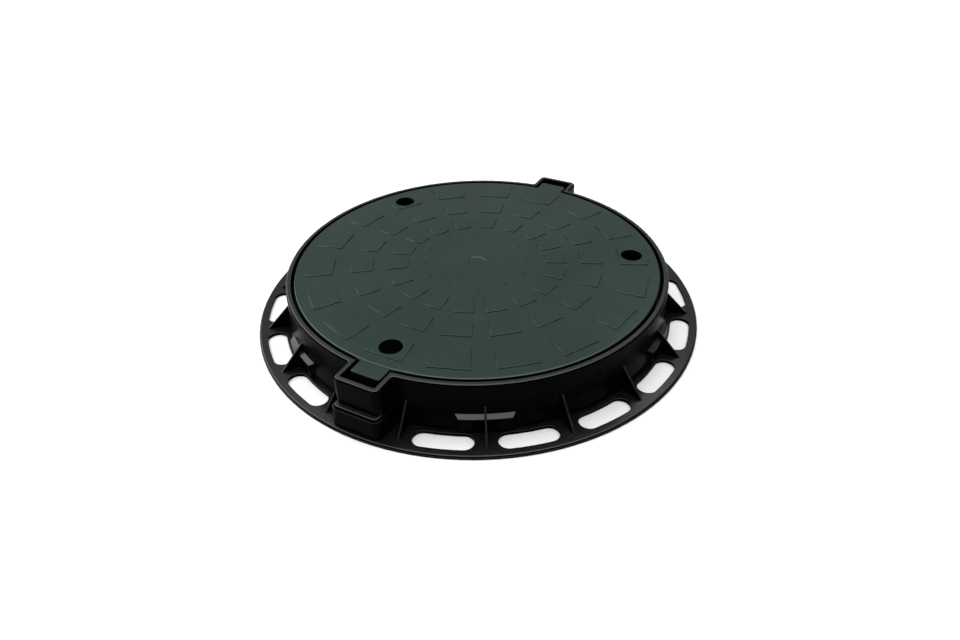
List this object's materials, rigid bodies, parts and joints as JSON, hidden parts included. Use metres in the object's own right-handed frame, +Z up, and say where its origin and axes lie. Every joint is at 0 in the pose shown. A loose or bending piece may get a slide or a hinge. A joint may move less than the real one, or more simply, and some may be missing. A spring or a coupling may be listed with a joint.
{
  "type": "manhole cover",
  "caption": "Round plastic manhole cover: a tabbed lid with a raised paving pattern rests in a collar with a wide slotted flange, gussets and pry pockets.",
  "frame": {"origin": "centre of the flange's underside, on the surface that the frame is bedded on", "axes": "+Z up, out of the ground; +Y from the centre to the ear at the back, so the lid's tabs lie along Y"},
  "size_m": [0.75, 0.75, 0.0861],
  "materials": {
    "lid_plastic": "moulded black-green plastic with a satin sheen",
    "frame_plastic": "moulded black plastic with a satin sheen"
  },
  "bodies": {
    "root": {"lid": "lid_plastic", "frame": "frame_plastic"}
  },
  "joints": []
}
